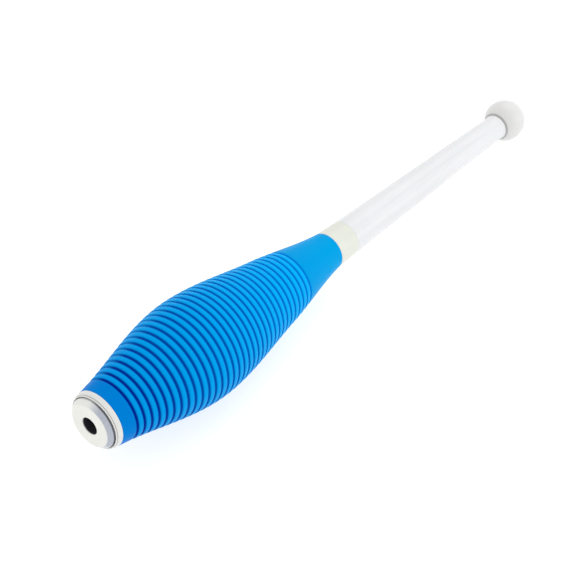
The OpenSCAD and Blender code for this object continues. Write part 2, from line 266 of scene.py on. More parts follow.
class Wire:
    """A node's output. Sums on wires add Math nodes to their tree."""

    def __init__(self, tree, socket):
        self.tree = tree
        self.socket = socket

    def math(self, operation, *others):
        return self.tree.math(operation, self, *others)

    def __add__(self, other):
        return self.math("ADD", other)

    def __radd__(self, other):
        return self.tree.math("ADD", other, self)

    def __sub__(self, other):
        return self.math("SUBTRACT", other)

    def __rsub__(self, other):
        return self.tree.math("SUBTRACT", other, self)

    def __mul__(self, other):
        return self.math("MULTIPLY", other)

    def __rmul__(self, other):
        return self.tree.math("MULTIPLY", other, self)

    def __truediv__(self, other):
        return self.math("DIVIDE", other)

    def __rtruediv__(self, other):
        return self.tree.math("DIVIDE", other, self)

    def __pow__(self, other):
        return self.math("POWER", other)

    def __rpow__(self, other):
        return self.tree.math("POWER", other, self)


class Tree:
    """A node tree that is built by calls."""

    def __init__(self, nodes):
        self.nodes = nodes
        nodes.nodes.clear()

    def node(self, kind, settings=None, **inputs):
        """Adds a node: its settings first, then values or wires by socket name."""
        made = self.nodes.nodes.new(kind)
        for key, value in (settings or {}).items():
            setattr(made, key, value)
        for key, value in inputs.items():
            name = key.replace("_", " ")
            self.feed(next(s for s in made.inputs if s.name == name and s.enabled), value)
        return made

    def feed(self, socket, value):
        if isinstance(value, (list, tuple)) and value and isinstance(value[0], Wire):
            for wire in value:
                self.nodes.links.new(wire.socket, socket)
        elif isinstance(value, Wire):
            self.nodes.links.new(value.socket, socket)
        else:
            socket.default_value = value

    def out(self, made, name=None):
        """The wire of a node's output, the first one unless it is named."""
        pick = [s for s in made.outputs if s.enabled and (name is None or s.name == name)]
        return Wire(self, pick[0])

    def wire(self, kind, settings=None, **inputs):
        """Adds a node and gives the wire of its first output."""
        return self.out(self.node(kind, settings, **inputs))

    def math(self, operation, *values):
        made = self.nodes.nodes.new("ShaderNodeMath")
        made.operation = operation
        for socket, value in zip(made.inputs, values):
            self.feed(socket, value)
        return Wire(self, made.outputs[0])

    def split(self, vector):
        """The three parts of a vector."""
        made = self.node("ShaderNodeSeparateXYZ", Vector=vector)
        return [Wire(self, s) for s in made.outputs]

    def vector(self, x, y, z):
        return self.wire("ShaderNodeCombineXYZ", X=x, Y=y, Z=z)

    def step(self, value, low, high, smooth=True):
        """0 below low and 1 above high."""
        kind = "SMOOTHSTEP" if smooth else "LINEAR"
        settings = {"interpolation_type": kind}
        inputs = {"Value": value, "From_Min": low, "From_Max": high}
        return self.out(self.node("ShaderNodeMapRange", settings, **inputs), "Result")


# ---------------------------------------------------------------- meshes


def fillet(before, corner, after, radius, count):
    """The points of an arc that rounds a corner."""
    corner = Vector(corner)
    to_before, to_after = Vector(before) - corner, Vector(after) - corner
    half = to_before.angle(to_after) / 2
    longest = FILLET_SHARE * min(to_before.length, to_after.length)
    reach = min(radius / math.tan(half), longest)
    radius = reach * math.tan(half)
    start = corner + to_before.normalized() * reach
    end = corner + to_after.normalized() * reach
    middle = (to_before.normalized() + to_after.normalized()).normalized()
    centre = corner + middle * (radius / math.sin(half))
    a, b = start - centre, end - centre
    sweep = a.angle(b)
    return [
        centre
        + a * (math.sin(sweep * (1 - i / count)) / math.sin(sweep))
        + b * (math.sin(sweep * i / count) / math.sin(sweep))
        for i in range(count + 1)
    ]


def outline(corners, longest=6 * MM, count=5):
    """A closed outline: corners are (place, radius) or (place, radius, rounding)."""
    rounded = []
    for i, corner in enumerate(corners):
        here = corner[:2]
        before, after = corners[i - 1][:2], corners[(i + 1) % len(corners)][:2]
        if len(corner) == 3:
            rounded += fillet(before, here, after, corner[2], count)
        else:
            rounded.append(Vector(here))
    points = []
    for a, b in zip(rounded, rounded[1:] + rounded[:1]):
        cuts = max(1, math.ceil((b - a).length / longest))
        points += [a.lerp(b, i / cuts) for i in range(cuts)]
    return points


def turned(name, points, around=128):
    """A solid of revolution from a closed outline, laid along the club's axis."""
    verts, rings, faces = [], [], []
    for place, radius in points:
        if radius < ON_AXIS:
            rings.append([len(verts)] * around)
            verts.append((place, 0, 0))
            continue
        rings.append(list(range(len(verts), len(verts) + around)))
        for j in range(around):
            a = -TURN * j / around
            verts.append((place, radius * math.cos(a), radius * math.sin(a)))
    for here, there in zip(rings, rings[1:] + rings[:1]):
        for j in range(around):
            k = (j + 1) % around
            face = (here[j], there[j], there[k], here[k])
            corners = tuple(dict.fromkeys(face))
            if len(corners) > 2:
                faces.append(corners)
    mesh = bpy.data.meshes.new(name)
    mesh.from_pydata(verts, [], faces)
    return placed(name, mesh)


def placed(name, mesh):
    """An object in the scene whose mesh is laid along the club's axis and shaded smooth."""
    mesh.transform(CLUB)
    mesh.validate()
    mesh.shade_smooth()
    mesh.set_sharp_from_angle(angle=CREASE)
    piece = bpy.data.objects.new(name, mesh)
    bpy.context.scene.collection.objects.link(piece)
    return piece


def grown(name, tree, settings):
    """Runs a Geometry Nodes tree once and keeps its result as a plain mesh."""
    seed = bpy.data.meshes.new(name)
    holder = bpy.data.objects.new(name, seed)
    bpy.context.scene.collection.objects.link(holder)
    modifier = holder.modifiers.new("Grow", "NODES")
    modifier.node_group = tree
    for item in tree.interface.items_tree:
        if item.item_type == "SOCKET" and item.in_out == "INPUT" and item.name in settings:
            modifier[item.identifier] = settings[item.name]
    deps = bpy.context.evaluated_depsgraph_get()
    mesh = bpy.data.meshes.new_from_object(holder.evaluated_get(deps))
    bpy.data.objects.remove(holder)
    bpy.data.meshes.remove(seed)
    return placed(name, mesh)


def finish_piece(piece, slot, material, *nodes):
    """Gives a piece its finish and its place in the frame."""
    piece.data.materials.clear()
    piece.data.materials.append(material)
    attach(piece, ROOT)
    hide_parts(*nodes)


class Grower(Tree):
    """A Geometry Nodes tree whose parts are strips of surface turned about the X axis.

    It has one input for each of its settings.
    """

    ARC_ROWS = 7
    SOCKETS = {
        float: "NodeSocketFloat",
        int: "NodeSocketInt",
        bpy.types.Material: "NodeSocketMaterial",
    }

    def __init__(self, name, around, settings):
        group = bpy.data.node_groups.new(name, "GeometryNodeTree")
        super().__init__(group)
        self.around = around
        group.interface.new_socket(name="Mesh", in_out="OUTPUT", socket_type="NodeSocketGeometry")
        for label, value in settings.items():
            kind = self.SOCKETS[type(value)]
            group.interface.new_socket(name=label, in_out="INPUT", socket_type=kind)
        self.entry = self.nodes.nodes.new("NodeGroupInput")
        self.parts = []
        self.shift = 0.0

    def given(self, label):
        return self.out(self.entry, label)

    def value(self, number):
        """A wire that carries a plain number."""
        made = self.node("ShaderNodeValue")
        made.outputs[0].default_value = number
        return self.out(made)

    def strip(self, rows, rule, attribute=None, with_turn=False):
        """Adds a grid whose rows are bent into rings.

        rule(share along) or rule(share along, share round) gives place and radius, and the
        value of the attribute if one is named.
        """
        surface = self.wire(
            "GeometryNodeMeshGrid",
            Size_X=1.0,
            Size_Y=1.0,
            Vertices_X=rows,
            Vertices_Y=self.around + 1,
        )
        x, y, _ = self.split(self.wire("GeometryNodeInputPosition"))
        along, round_it = x + 0.5, y + 0.5
        place, radius, *extra = rule(along, round_it) if with_turn else rule(along)
        turn = round_it * -TURN
        if attribute:
            surface = self.wire(
                "GeometryNodeStoreNamedAttribute",
                {"data_type": "FLOAT", "domain": "POINT"},
                Geometry=surface,
                Name=attribute,
                Value=extra[0],
            )
        place = self.math("ADD", place, self.shift)
        ring = self.vector(place, radius * turn.math("COSINE"), radius * turn.math("SINE"))
        self.parts.append(self.wire("GeometryNodeSetPosition", Geometry=surface, Position=ring))

    def line(self, *points):
        """Adds a straight strip from each (place, radius) to the next."""
        for (x0, r0), (x1, r1) in zip(points, points[1:]):
            self.strip(2, lambda u: (x0 + (x1 - x0) * u, r0 + (r1 - r0) * u))

    def arc(self, centre, radius, start, end):
        """Adds a rounded strip: angles are in turns, 0 along X and a quarter outwards."""
        x, r = centre

        def rule(u):
            a = (start + (end - start) * u) * TURN
            return x + radius * a.math("COSINE"), r + radius * a.math("SINE")

        self.strip(self.ARC_ROWS, rule)

    def welded(self):
        """Joins the strips into one closed mesh."""
        joined = self.wire("GeometryNodeJoinGeometry", Geometry=self.parts)
        self.parts = []
        return self.wire("GeometryNodeMergeByDistance", Geometry=joined, Distance=WELD)

    def dress(self, geometry):
        """Ends the tree: instances made real, and the material set."""
        real = self.wire("GeometryNodeRealizeInstances", Geometry=geometry)
        material = self.given("Material")
        dressed = self.wire("GeometryNodeSetMaterial", Geometry=real, Material=material)
        last = self.nodes.nodes.new("NodeGroupOutput")
        self.feed(last.inputs[0], dressed)
        return self.nodes


# ---------------------------------------------------------------- finishes


class Finish(Tree):
    """A procedural material on Object coordinates."""

    def __init__(self, name):
        self.material = bpy.data.materials.new(name)
        self.material.use_nodes = True
        super().__init__(self.material.node_tree)
        self.here = self.out(self.node("ShaderNodeTexCoord"), "Object")

    def along(self, direction):
        """Distance from the cap's face along one of the club's own directions."""
        shifted = self.node("ShaderNodeVectorMath", {"operation": "SUBTRACT"}, Vector=self.here)
        shifted.inputs[1].default_value = CLUB.translation
        dot = self.node(
            "ShaderNodeVectorMath", {"operation": "DOT_PRODUCT"}, Vector=self.out(shifted)
        )
        dot.inputs[1].default_value = direction
        return self.out(dot, "Value")

    def club(self):
        """Place along the club, and the two distances across it."""
        return [self.along(CLUB.to_3x3().col[i]) for i in range(3)]

    def noise(self, scale, detail=3.0, roughness=0.5, vector=None):
        return self.wire(
            "ShaderNodeTexNoise",
            Vector=vector or self.here,
            Scale=scale,
            Detail=detail,
            Roughness=roughness,
        )

    def mix(self, share, first, second):
        """A colour between two, where share is 0 at the first."""
        made = self.nodes.nodes.new("ShaderNodeMix")
        made.data_type = "RGBA"
        self.feed(made.inputs["Factor"], share)
        for index, shade in ((6, first), (7, second)):
            self.feed(made.inputs[index], shade if isinstance(shade, Wire) else (*shade, 1.0))
        return Wire(self, made.outputs[2])

    def bump(self, height, depth):
        return self.wire("ShaderNodeBump", Height=height, Distance=depth, Strength=1.0)

    def surface(self, shade, rough, normal=None, **constants):
        """Ends the material in a Principled shader."""
        shader = self.node("ShaderNodeBsdfPrincipled", Base_Color=shade, Roughness=rough)
        if normal:
            self.feed(shader.inputs["Normal"], normal)
        for key, value in constants.items():
            shader.inputs[key.replace("_", " ")].default_value = value
        self.node("ShaderNodeOutputMaterial", Surface=self.out(shader))
        return self.material


SKIN_DEPTH = 0.02 * MM
CLOUDS = (0.35, 0.65)
# The side on which the grooves' painted shade is lifted, as if lit there.
LIT_SIDE = (0.8, 0.6)
# The side toward which the cap's painted shade grows strongest.
SHADED_SIDE = (-0.94, 0.33)


def darker(shade, share):
    """A colour at a share of its brightness."""
    return tuple(part * share for part in shade)


def distance(a, b):
    """How far two distances at a right angle reach together."""
    return (a * a + b * b).math("SQRT")


def facing(side, across, up):
    """How much a point of the club faces a side: 1 straight at it, -1 straight away."""
    return (across * side[0] + up * side[1]) / distance(across, up)


def moulded(name, shade, rough, seams=(), drawn=0.0):
    """Moulded plastic: a faint drift, the fine skin of its mould, and painted shade along its seams
    and joints.

    A drawn tube also has faint lines along it, from the die.
    """
    tree = Finish(name)
    drift = tree.noise(14, 2)
    base = tree.mix(tree.step(drift, *CLOUDS), shade, darker(shade, 0.96))
    place, across, up = tree.club()
    if drawn:
        lines = tree.noise(1.0, 3, 0.6, tree.vector(place * 5, across * 420, up * 420))
        base = tree.mix(tree.step(lines, 0.42, 0.7) * drawn, base, darker(shade, 0.8))
    for seam, half in seams:
        # Painted shade: each seam or joint is painted darker, where shade falls in its crease.
        crease_shade = 1 - tree.step((place - seam).math("ABSOLUTE"), half * 0.4, half)
        base = tree.mix(crease_shade * (0.6 + drift * 0.4), base, darker(shade, 0.5))
    skin = tree.noise(1400, 2)
    bumped = tree.bump(skin + tree.noise(180, 2) * 2, SKIN_DEPTH)
    gloss = rough + (drift - 0.5) * 0.1 + (skin - 0.5) * 0.08
    return tree.surface(base, gloss, bumped, Subsurface_Weight=0.05, Subsurface_Scale=4 * MM)


def blown_blue():
    """Blue blow-moulded plastic with painted shade in the grooves, painted light toward the neck
    and on the ribs, and the faint seams of its mould.
    """
    c = colours()
    tree = Finish("blown_blue")
    place, across, up = tree.club()
    # The groove attribute is the mask of the grooves' painted shade.
    groove = tree.out(tree.node("ShaderNodeAttribute", {"attribute_name": "groove"}), "Fac")
    # Painted light: on one side the grooves' painted shade is lifted, as if light fell into them.
    toward_light = tree.step(facing(LIT_SIDE, across, up), 0.82, 1.0)
    groove = groove * (1 - toward_light * 0.6)
    drift = tree.noise(18, 2)
    # Painted light: thin grows from mouth to neck and paints the body lighter toward the neck, as
    # if lit more there.
    thin = tree.step(place, 20 * MM, 250 * MM, smooth=False)
    plain = tree.mix(thin + (drift - 0.5) * 0.15, c.blue, c.light_blue)
    # Painted highlight: the ribbed zone is painted lighter, as if the rib crowns caught the light.
    lit_ribs = tree.mix(thin, c.lit_rib_blue, c.pale_blue)
    s = sizes()
    first = s.mouth_place + s.mouth_plain
    last = first + (s.groove_count - 1) * s.groove_pitch
    fade = 2 * MM
    ribbed = tree.step(place, first - fade, first) * (1 - tree.step(place, last, last + fade))
    land = tree.mix(ribbed, plain, lit_ribs)
    # Painted shade in the grooves, deep blue at the mouth and lighter toward the neck.
    base = tree.mix(groove, land, tree.mix(thin, c.mouth_groove_shade, c.neck_groove_shade))
    seam = 1 - tree.step(up.math("ABSOLUTE"), 0.2 * MM, 0.7 * MM)
    bumped = tree.bump(tree.noise(900, 2) + tree.noise(120, 2) * 3 + seam * 2, SKIN_DEPTH)
    gloss = 0.36 + (drift - 0.5) * 0.12 + groove * 0.1
    return tree.surface(base, gloss, bumped, IOR=1.08, Specular_Tint=(0.1, 0.85, 1.0, 1.0))


def cap_with_painted_shade(s, c, face_r):
    """Soft white plastic with a fine skin, painted shade on its bevel, and painted shade in the gap
    behind it, both darkest on one side.
    """
    tree = Finish("cap_plastic")
    place, across, up = tree.club()
    far = distance(across, up)
    drift = tree.noise(60, 3)
    skin = tree.noise(1100, 2)
    marks = tree.noise(700, 4, 0.7)
    edge = face_r + (drift - 0.5) * 0.3 * MM
    # Painted shade on the bevel and in the gap, strongest toward that side.
    toward_shade = tree.step(facing(SHADED_SIDE, across, up), 0.2, 0.75)
    bevel = tree.step(far - edge, -0.1 * MM, 0.4 * MM) * (0.9 + (marks - 0.5) * 0.5)
    bevel = bevel * (0.12 + toward_shade * 0.88)
    # Painted shade in the gap behind the bevel.
    gap = tree.step(place, s.cap_bevel - 0.1 * MM, s.cap_bevel + 0.3 * MM)
    gap = gap * (0.35 + toward_shade * 0.65)
    face = tree.mix(tree.step(drift, *CLOUDS), c.cap, darker(c.cap, 0.96))
    base = tree.mix(gap, tree.mix(bevel, face, c.bevel_shade), c.gap_shade)
    bumped = tree.bump(skin + drift + marks * bevel * 2, 0.03 * MM)
    return tree.surface(base, 0.5 + bevel * 0.15 + (skin - 0.5) * 0.1, bumped)


def pad_foam():
    """Closed-cell foam, cut with an open grain."""
    tree = Finish("pad_foam")
    cells = tree.node("ShaderNodeTexVoronoi", Vector=tree.here, Scale=1500.0)
    pits = tree.out(cells, "Distance")
    c = colours().foam
    base = tree.mix(tree.step(pits, 0.1, 0.6), darker(c, 0.5), c)
    return tree.surface(base, 0.85 + (pits - 0.5) * 0.1, tree.bump(pits, 0.2 * MM))


def zinc_steel():
    """Zinc-plated steel with fine turning marks round the club's axis."""
    tree = Finish("zinc_steel")
    place, across, up = tree.club()
    far = distance(across, up)
    rings = tree.noise(1.0, 3, 0.6, tree.vector(far * 9000, place * 9000, 0.0))
    cloud = tree.noise(420, 3)
    c = colours().zinc
    base = tree.mix(tree.step(cloud, 0.3, 0.75), c, darker(c, 0.8))
    return tree.surface(base, 0.28 + rings * 0.16, tree.bump(rings, 0.01 * MM), Metallic=1.0)


def turned_wood(name, light, dark):
    """Beech turned along the club: long grain, short dark flecks, and rings at its ends."""
    tree = Finish(name)
    place, across, up = tree.club()
    long_grain = tree.vector(place * 6, across * 130, up * 130)
    grain = tree.noise(3.0, 5, 0.6, long_grain)
    flecks = tree.noise(1.0, 1, 0.4, tree.vector(place * 160, across * 1500, up * 1500))
    heart = -30 * MM
    rings = (distance(across - heart, up) * 2600 + grain * 5).math("SINE") * 0.5 + 0.5
    shade = tree.mix(rings * 0.35 + tree.step(grain, 0.35, 0.75) * 0.45, light, dark)
    shade = tree.mix(tree.step(flecks, 0.66, 0.74) * 0.6, shade, dark)
    return tree.surface(shade, 0.5 + grain * 0.15, tree.bump(grain + flecks, 0.06 * MM))


def pale_floor():
    """A plain pale board, lit a little from below so that shadows stay soft."""
    tree = Finish("pale_floor")
    c = colours().floor
    cloud = tree.noise(3, 2)
    base = tree.mix(cloud, c, darker(c, 0.985))
    rough = 0.7 + (cloud - 0.5) * 0.05
    glow = stage().glow
    return tree.surface(base, rough, Emission_Color=(1, 1, 1, 1), Emission_Strength=glow)


# ---------------------------------------------------------------- pieces


class Piece(bpy.types.Operator):
    """Builds one piece of the club."""

    bl_options = {"REGISTER", "UNDO"}

    def execute(self, context):
        self.build(sizes(), colours())
        return {"FINISHED"}


def blend(d, span, y0, y1, k0, k1):
    """The smooth line from y0 to y1 over span, with slopes k0 and k1 at its ends."""
    t = d / span
    t2 = t * t
    t3 = t2 * t
    rise = t2 * 3 - t3 * 2
    return (1 - rise) * y0 + rise * y1 + (t3 - t2 * 2 + t) * span * k0 + (t3 - t2) * span * k1


MOUTH_SLOPE, FLANK_SLOPE, NECK_SLOPE = 0.15, -0.156, -0.112


def tongue_radius(s):
    """Outside of the shell's tongue, under the collar."""
    return min(s.neck_r, s.sleeve_neck_r) - s.collar_wall - s.gap


class CLUB_OT_blown_shell(Piece):
    """Ribbed hollow body: mouth, 33 grooves, plain neck and the tongue under the collar"""

    bl_idname = "club.blown_shell"
    bl_label = "Blown Shell"

    AROUND = 136
    GROOVE_ROWS = 8
    RIB_ROWS = 5
    INSIDE_ROWS = 40
    MOUTH_ROUND = 0.6 * MM
    NECK_ROUND = 0.3 * MM
    LAND_RAMP = 1 * MM

    def build(self, s, c):
        settings = {
            "Mouth Place": s.mouth_place,
            "Body Length": s.body_length,
            "Mouth Radius": s.mouth_r,
            "Belly Radius": s.body_r,
            "Belly Place": s.belly_place,
            "Flank Radius": s.flank_r,
            "Flank Place": s.flank_place,
            "Neck Radius": s.neck_r,
            "Wall": s.shell_wall,
            "Mouth Land": s.mouth_land,
            "Groove Pitch": s.groove_pitch,
            "Groove Width": s.groove_width,
            "Groove Depth": s.groove_depth,
            "Rib Crown": s.rib_crown,
            "First Groove": s.mouth_plain,
            "Last Groove": s.groove_count - 1.0,
            "Tongue Radius": tongue_radius(s),
            "Tongue Length": s.collar_length - s.gap,
            "Material": blown_blue(),
        }
        tree = self.grow(Grower("Ribbed Shell", self.AROUND, settings), s)
        piece = grown("blown_shell", tree, settings)
        finish_piece(piece, "blue_plastic", settings["Material"], "body_shell")

    def grow(self, g, s):
        get = g.given
        g.shift = get("Mouth Place")
        length, wall = get("Body Length"), get("Wall")
        belly, flank = get("Belly Place"), get("Flank Place")
        pitch, width = get("Groove Pitch"), get("Groove Width")
        mouth_bore = get("Mouth Radius") - wall
        tongue, tongue_end = get("Tongue Radius"), length + get("Tongue Length")

        def envelope(place):
            """Radius over the ribs: mouth to belly, belly to flank, flank to neck."""
            rise = blend(place, belly, get("Mouth Radius"), get("Belly Radius"), MOUTH_SLOPE, 0)
            fall = blend(
                place - belly, flank - belly, get("Belly Radius"), get("Flank Radius"), 0,
                FLANK_SLOPE,
            )
            tail = blend(
                place - flank, length - flank, get("Flank Radius"), get("Neck Radius"),
                FLANK_SLOPE, NECK_SLOPE,
            )
            past_belly = place.math("GREATER_THAN", belly)
            past_flank = place.math("GREATER_THAN", flank)
            body = rise + (fall - rise) * past_belly
            return body + (tail - body) * past_flank

        rows = self.GROOVE_ROWS + self.RIB_ROWS
        share = self.GROOVE_ROWS / rows
        first_edge = s.mouth_plain - s.groove_width / 2
        before = math.ceil(first_edge / s.groove_pitch)
        cells = before + math.ceil((s.body_length - first_edge) / s.groove_pitch)

        def ribs(u):
            """Rows crowd into the grooves; each row drops by its groove and its rib's crown."""
            cell = (u * cells).math("FLOOR")
            t = u * cells - cell
            in_groove = (t / share).math("MINIMUM", 1.0) * (width / pitch)
            on_rib = (t - share).math("MAXIMUM", 0.0) / (1 - share) * (1 - width / pitch)
            edge = get("First Groove") - width / 2
            place = edge + (cell - before + in_groove + on_rib) * pitch
            place = place.math("MAXIMUM", self.MOUTH_ROUND)
            place = place.math("MINIMUM", length - self.NECK_ROUND)
            index = ((place - get("First Groove")) / pitch).math("ROUND")
            index = index.math("MAXIMUM", 0.0).math("MINIMUM", get("Last Groove"))
            away = (place - get("First Groove") - index * pitch).math("ABSOLUTE")
            groove = 1 - g.step(away / (width / 2), 0.45, 1.0)
            fall = (pitch / 2 - away).math("MAXIMUM", 0.0) / ((pitch - width) / 2)
            crown = get("Rib Crown") * (fall * fall).math("MINIMUM", 1.0)
            drop = crown + (get("Groove Depth") - get("Rib Crown")) * groove
            # Painted shade: dark is how deeply the grooves are painted as shaded, stored as the
            # groove attribute.
            dark = 1 - g.step(away / (width / 2), 0.65, 1.35)
            return place, envelope(place) - drop, dark

        land = get("Mouth Land")
        land_end = land + self.LAND_RAMP

        def inside(u):
            place = length - wall + (land_end - length + wall) * u
            return place, envelope(place) - wall

        mouth_lip = ribs(g.value(0.0))[1] - self.MOUTH_ROUND
        neck_lip = ribs(g.value(1.0))[1] - self.NECK_ROUND
        g.line((land, mouth_bore), (0, mouth_bore), (0, mouth_lip))
        g.arc((self.MOUTH_ROUND, mouth_lip), self.MOUTH_ROUND, 0.5, 0.25)
        # The groove attribute carries the grooves' painted shade.
        g.strip(cells * rows + 1, ribs, "groove")
        g.arc((length - self.NECK_ROUND, neck_lip), self.NECK_ROUND, 0.25, 0)
        g.line(
            (length, neck_lip),
            (length, tongue),
            (tongue_end, tongue),
            (tongue_end, tongue - wall),
            (length, tongue - wall),
            (length - wall, envelope(length - wall) - wall),
        )
        g.strip(self.INSIDE_ROWS, inside)
        g.line((land_end, envelope(land_end) - wall), (land, mouth_bore))
        return g.dress(g.welded())


class CLUB_OT_mouth_ring(Piece):
    """Rigid white ring in the mouth: lip, seam, band, spigot with a snap bead, web and hub"""

    bl_idname = "club.mouth_ring"
    bl_label = "Mouth Ring"

    def build(self, s, c):
        spigot_r = s.mouth_r - s.shell_wall - s.gap
        well_r = spigot_r - s.spigot_wall
        lip_r = s.mouth_r - s.lip_wall
        lip_top = lip_r + s.lip_wall * 0.3
        step = 0.5 * MM
        lip, ledge = s.lip_place, s.lip_place + s.lip_height
        bead = s.mouth_place + s.mouth_land + s.gap
        web = s.well_depth + s.web_wall
        hub_r, bore = s.dowel_r + s.gap + s.hub_wall, s.dowel_r + s.gap
        hub_end, tail = web + s.hub_length, web + 3 * MM
        chamfer = 1 * MM
        hole = s.screw_r + s.screw_play
        corners = [
            (lip, lip_r, 0.3 * MM),
            (lip, lip_top + step / 2, 0.35 * MM),
            (lip + 1.6 * step, lip_top + step / 2, 0.15 * MM),
            (lip + 2 * step, lip_top, 0.12 * MM),
            (lip + 2.5 * step, lip_top + step / 2, 0.15 * MM),
            (lip + 3 * step, s.mouth_r - s.lip_wall * 0.4, 0.3 * MM),
            (s.mouth_place, s.mouth_r, 0.25 * MM),
            (s.mouth_place, spigot_r, 0.15 * MM),
            (bead, spigot_r),
            (bead + s.snap_bead, spigot_r + s.snap_bead, 0.15 * MM),
            (bead + 3 * s.snap_bead, spigot_r + s.snap_bead, 0.2 * MM),
            (bead + 6 * s.snap_bead, spigot_r, 0.2 * MM),
            (tail, spigot_r - s.snap_bead, 0.3 * MM),
            (tail, well_r, 0.3 * MM),
            (web, well_r, 0.8 * MM),
            (web, hub_r, 1.2 * MM),
            (hub_end, hub_r - chamfer, 0.6 * MM),
            (hub_end, bore, 0.3 * MM),
            (web, bore),
            (web, hole),
            (s.well_depth, hole, 0.2 * MM),
            (s.well_depth, well_r, 0.3 * MM),
            (ledge, well_r, 0.15 * MM),
            (ledge, lip_r, 0.15 * MM),
        ]
        piece = turned("mouth_ring", outline(corners))
        # Painted shade along the ring's V-groove seam.
        seam = (lip + 2 * step, 0.45 * MM)
        finish = moulded("ring_plastic", c.ring, 0.42, seams=[seam])
        finish_piece(piece, "ring_plastic", finish, "end_ring")


class CLUB_OT_bumper_cap(Piece):
    """Soft white cap: bevelled face, round-edged hole, rim on the ledge and skirt in the well"""

    bl_idname = "club.bumper_cap"
    bl_label = "Bumper Cap"

    def build(self, s, c):
        skirt_r = s.mouth_r - s.shell_wall - s.spigot_wall - 2 * s.gap
        skirt_bore = skirt_r - s.skirt_wall
        rim_r = s.mouth_r - s.lip_wall - s.shadow_gap
        face_r = rim_r - s.bevel_width
        seat = s.lip_place + s.lip_height
        boss_r, boss_end = s.hole_r + s.boss_wall, s.hole_round + s.lip_inset
        corners = [
            (0, s.hole_r, s.hole_round),
            (0, face_r, 0.5 * MM),
            (s.cap_bevel, rim_r, 0.6 * MM),
            (seat, rim_r, 0.3 * MM),
            (seat, skirt_r, 0.2 * MM),
            (s.well_depth, skirt_r, 0.4 * MM),
            (s.well_depth, skirt_bore, 0.4 * MM),
            (s.cap_wall, skirt_bore, 0.8 * MM),
            (s.cap_wall, boss_r),
            (boss_end, boss_r),
            (boss_end, s.hole_r),
        ]
        piece = turned("bumper_cap", outline(corners, longest=3 * MM, count=8))
        finish = cap_with_painted_shade(s, c, face_r)
        finish_piece(piece, "cap_plastic", finish, "end_cap")


class CLUB_OT_collar_band(Piece):
    """Thin ivory collar that covers the tongue and the tacks"""

    bl_idname = "club.collar_band"
    bl_label = "Collar Band"

    def build(self, s, c):
        bore = tongue_radius(s) + s.gap
        start = s.mouth_place + s.body_length
        end = start + s.collar_length
        middle, half = start + s.tack_place, s.tack_head_r + s.tack_relief
        relief = math.hypot(bore - s.gap + s.tack_head_height, s.tack_head_r) + s.gap
        corners = [
            (start, bore),
            (start, s.neck_r, 0.3 * MM),
            (end, s.sleeve_neck_r, 0.25 * MM),
            (end, bore),
            (middle + half, bore),
            (middle + half, relief),
            (middle - half, relief),
            (middle - half, bore),
        ]
        piece = turned("collar_band", outline(corners))
        finish = moulded("ivory_plastic", c.ivory, 0.45)
        finish_piece(piece, "ivory_plastic", finish, "neck_collar")


class CLUB_OT_grip_sleeve(Piece):
    """White tapered handle tube with a flared end rim"""

    bl_idname = "club.grip_sleeve"
    bl_label = "Grip Sleeve"

    def build(self, s, c):
        start, start_r, end, end_r, rim_r = sleeve_line(s)
        slope = (end_r - start_r) / (end - start)
        flare = end - s.flare_length
        corners = [
            (start, start_r - s.sleeve_wall),
            (start, start_r, 0.25 * MM),
            (flare, start_r + slope * (flare - start), 6 * MM),
            (end - s.flare_length / 2, rim_r - s.rim_flare / 4, 0.8 * MM),
            (end, rim_r, 0.4 * MM),
            (end, end_r - s.sleeve_wall),
        ]
        piece = turned("grip_sleeve", outline(corners))
        finish = moulded("handle_plastic", c.handle, 0.36, drawn=0.22)
        finish_piece(piece, "handle_plastic", finish, "handle_sleeve")


def sleeve_line(s):
    """The sleeve's two ends: place and radius at the collar, at the knob, and its rim."""
    start = s.mouth_place + s.body_length + s.collar_length
    end_r = s.dowel_r + 2 * s.gap + s.spigot_ring + s.sleeve_wall
    rim_r = end_r + s.rim_flare
    seat_r = rim_r + 0.15 * MM
    end = s.club_length - s.knob_r - math.sqrt(s.knob_r**2 - seat_r**2)
    return start, s.sleeve_neck_r, end, end_r, rim_r


class CLUB_OT_ball_knob(Piece):
    """White ball with a seat for the handle, a spigot, a socket and a recess for its screw"""

    bl_idname = "club.ball_knob"
    bl_label = "Ball Knob"

    def build(self, s, c):
        start, start_r, seat, end_r, _ = sleeve_line(s)
        slope = (end_r - start_r) / (seat - start)
        spigot = seat - s.knob_spigot
        spigot_r = end_r - s.sleeve_wall - s.gap
        bore, hole = s.dowel_r + s.gap, s.screw_r + s.screw_play
        recess = s.head_r + s.washer_rim + 2 * s.gap
        floor = s.club_length - s.recess_depth
        socket = floor - s.knob_web
        centre = s.club_length - s.knob_r
        seat_angle = math.acos((seat - centre) / s.knob_r)
        rim_angle = math.asin(recess / s.knob_r)
        steps = 56
        angles = [seat_angle + (rim_angle - seat_angle) * i / steps for i in range(steps + 1)]
        ball = [(centre + s.knob_r * math.cos(a), s.knob_r * math.sin(a)) for a in angles]
        ball[-1] = (*ball[-1], 0.7 * MM)
        corners = [
            (spigot, bore),
            (spigot, spigot_r - slope * s.knob_spigot, 0.3 * MM),
            (seat, spigot_r),
            *ball,
            (floor, recess, 0.4 * MM),
            (floor, hole, 0.15 * MM),
            (socket, hole),
            (socket, bore),
        ]
        piece = turned("ball_knob", outline(corners))
        # Painted shade on the knob where it meets the handle.
        finish = moulded("knob_plastic", c.knob, 0.38, seams=[(seat, 1.5 * MM)])
        finish_piece(piece, "knob_plastic", finish, "knob")


